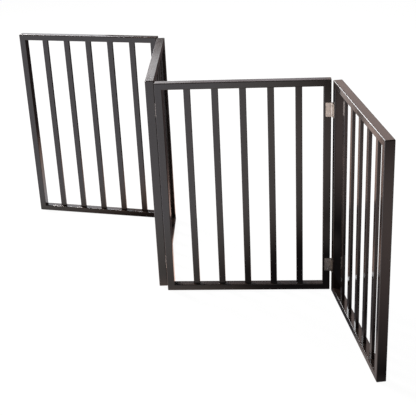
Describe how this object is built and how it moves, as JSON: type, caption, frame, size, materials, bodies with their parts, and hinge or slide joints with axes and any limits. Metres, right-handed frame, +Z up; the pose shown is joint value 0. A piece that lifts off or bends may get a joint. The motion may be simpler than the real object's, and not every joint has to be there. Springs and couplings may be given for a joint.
{
  "type": "folding pet gate",
  "caption": "Free-standing folding pet gate: slatted wooden panels joined by steel butt hinges, standing in a zigzag and folding flat.",
  "frame": {"origin": "middle of the underside of the front panel (panel_3), on the floor", "axes": "+X along the front panel to its right end, +Y from its front face to its back, +Z up"},
  "size_m": [1.065, 1.048, 0.61],
  "materials": {
    "frame_lacquer": "semi-gloss dark espresso lacquer over wood, fine grain just showing",
    "slat_lacquer": "semi-gloss dark espresso lacquer over wood, upright grain",
    "leaf_nickel": "satin nickel-plated steel",
    "pin_steel": "plated steel",
    "screw_steel": "plated steel with a cross recess",
    "dowel_wood": "bare beech, inside the joints"
  },
  "bodies": {
    "panel_1": {"panel_1_left_post": "frame_lacquer", "panel_1_right_post": "frame_lacquer", "panel_1_bottom_rail": "frame_lacquer", "panel_1_top_rail": "frame_lacquer", "panel_1_slat_1": "slat_lacquer", "panel_1_slat_2": "slat_lacquer", "panel_1_slat_3": "slat_lacquer", "panel_1_slat_4": "slat_lacquer", "panel_1_slat_5": "slat_lacquer", "panel_1_corner_dowels": "dowel_wood", "panel_1_hinge_screws": "screw_steel", "hinge_12_lower_left_leaf": "leaf_nickel", "hinge_12_upper_left_leaf": "leaf_nickel"},
    "panel_2": {"panel_2_left_post": "frame_lacquer", "panel_2_right_post": "frame_lacquer", "panel_2_bottom_rail": "frame_lacquer", "panel_2_top_rail": "frame_lacquer", "panel_2_slat_1": "slat_lacquer", "panel_2_slat_2": "slat_lacquer", "panel_2_slat_3": "slat_lacquer", "panel_2_slat_4": "slat_lacquer", "panel_2_slat_5": "slat_lacquer", "panel_2_corner_dowels": "dowel_wood", "panel_2_hinge_screws": "screw_steel", "hinge_12_lower_right_leaf": "leaf_nickel", "hinge_12_upper_right_leaf": "leaf_nickel", "hinge_12_pins": "pin_steel", "hinge_23_lower_left_leaf": "leaf_nickel", "hinge_23_upper_left_leaf": "leaf_nickel"},
    "panel_3": {"panel_3_left_post": "frame_lacquer", "panel_3_right_post": "frame_lacquer", "panel_3_bottom_rail": "frame_lacquer", "panel_3_top_rail": "frame_lacquer", "panel_3_slat_1": "slat_lacquer", "panel_3_slat_2": "slat_lacquer", "panel_3_slat_3": "slat_lacquer", "panel_3_slat_4": "slat_lacquer", "panel_3_slat_5": "slat_lacquer", "panel_3_corner_dowels": "dowel_wood", "panel_3_hinge_screws": "screw_steel", "hinge_23_lower_right_leaf": "leaf_nickel", "hinge_23_upper_right_leaf": "leaf_nickel", "hinge_23_pins": "pin_steel", "hinge_34_lower_left_leaf": "leaf_nickel", "hinge_34_upper_left_leaf": "leaf_nickel", "hinge_34_pins": "pin_steel"},
    "panel_4": {"panel_4_left_post": "frame_lacquer", "panel_4_right_post": "frame_lacquer", "panel_4_bottom_rail": "frame_lacquer", "panel_4_top_rail": "frame_lacquer", "panel_4_slat_1": "slat_lacquer", "panel_4_slat_2": "slat_lacquer", "panel_4_slat_3": "slat_lacquer", "panel_4_slat_4": "slat_lacquer", "panel_4_slat_5": "slat_lacquer", "panel_4_corner_dowels": "dowel_wood", "panel_4_hinge_screws": "screw_steel", "hinge_34_lower_right_leaf": "leaf_nickel", "hinge_34_upper_right_leaf": "leaf_nickel"}
  },
  "joints": [
    {"name": "fold_23", "type": "hinge", "parent": "panel_3", "child": "panel_2", "pos_m": [-0.23, 0.0136, 0.305], "axis": [0, 0, 1], "range_deg": [-92.5, 87.5]},
    {"name": "fold_12", "type": "hinge", "parent": "panel_2", "child": "panel_1", "pos_m": [-0.27724, 0.47198, 0.305], "axis": [0, 0, 1], "range_deg": [-76.5, 103.5]},
    {"name": "fold_34", "type": "hinge", "parent": "panel_3", "child": "panel_4", "pos_m": [0.23, -0.0136, 0.305], "axis": [0, 0, 1], "range_deg": [-100.5, 79.5]}
  ]
}
